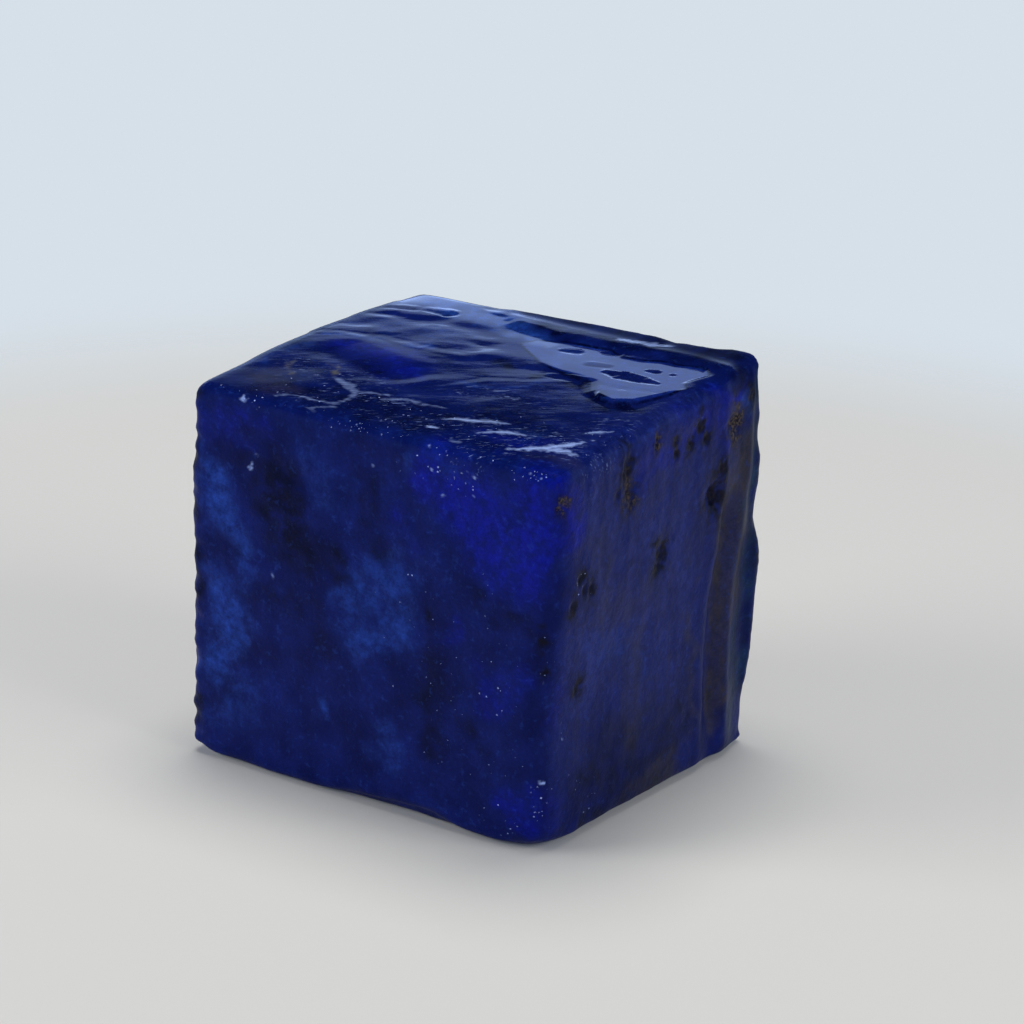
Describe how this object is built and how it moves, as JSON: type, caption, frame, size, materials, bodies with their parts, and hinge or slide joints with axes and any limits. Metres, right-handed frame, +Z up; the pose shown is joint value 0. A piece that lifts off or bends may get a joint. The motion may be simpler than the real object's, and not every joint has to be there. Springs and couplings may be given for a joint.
{
  "type": "rough tanzanite",
  "caption": "Squarish block of rough deep blue tanzanite with a glossy ledged top, satin sides, small pits and a trough down one side. Rests on its flat underside.",
  "frame": {"origin": "centre of the underside's bounding box, on the surface that the stone rests on", "axes": "+Z up; +X out of the side with the trough, along the block's longest extent; -Y out of the broad satin face, along its shortest extent"},
  "size_m": [0.0292, 0.0256, 0.0274],
  "materials": {
    "stone": "waxy gloss on top, satin sides"
  },
  "bodies": {
    "root": {"rough_tanzanite": "stone"}
  },
  "joints": []
}
